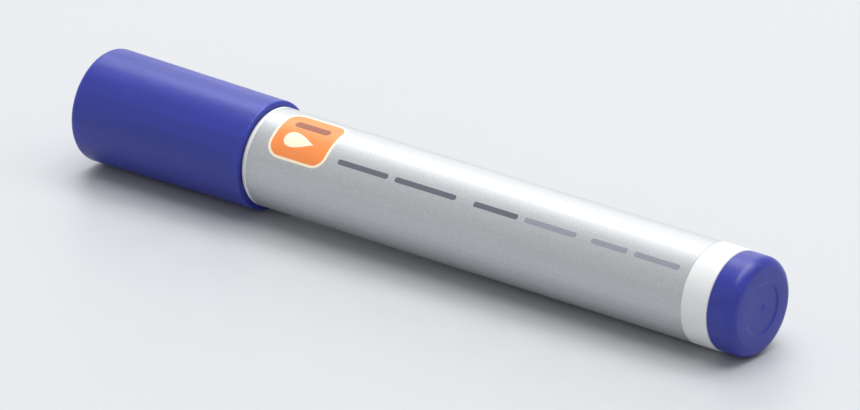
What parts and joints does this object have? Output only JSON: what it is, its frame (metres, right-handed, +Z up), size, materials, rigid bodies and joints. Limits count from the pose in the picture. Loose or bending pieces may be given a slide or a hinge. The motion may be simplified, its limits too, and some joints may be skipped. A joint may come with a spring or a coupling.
{
  "type": "felt tip marker",
  "caption": "Round capped whiteboard marker with a bullet felt nib, fibre ink reservoir, silver label sleeve, push-in end plug and a pull-off cap with an inner seal.",
  "frame": {"origin": "under the middle of the marker's length, on the surface that its cap's widest edge lies on", "axes": "+X along the marker's axis from the cap's closed end to the end plug, +Z up from the surface, +Y away from the front"},
  "size_m": [0.136, 0.0196, 0.0196],
  "materials": {
    "barrel_white": "satin moulded polypropylene",
    "label_silver": "satin silver printed film with an orange patch",
    "plug_blue": "glossy ink-blue moulded polypropylene",
    "holder_white": "satin moulded polypropylene",
    "nib_felt": "ink-soaked bonded fibre",
    "core_fibre": "ink-soaked lengthwise fibre bundle",
    "wrap_film": "thin clear film",
    "cap_blue": "glossy, slightly translucent ink-blue polypropylene",
    "liner_natural": "natural milky polyethylene"
  },
  "bodies": {
    "barrel": {"barrel": "barrel_white", "label": "label_silver", "end_plug": "plug_blue", "nib_holder": "holder_white", "nib": "nib_felt", "reservoir_core": "core_fibre", "reservoir_wrap": "wrap_film"},
    "cap": {"cap_shell": "cap_blue", "cap_liner": "liner_natural"}
  },
  "joints": [
    {"name": "cap_pull", "type": "slide", "parent": "barrel", "child": "cap", "axis": [-1, 0, 0], "range_m": [0, 0.04]}
  ]
}
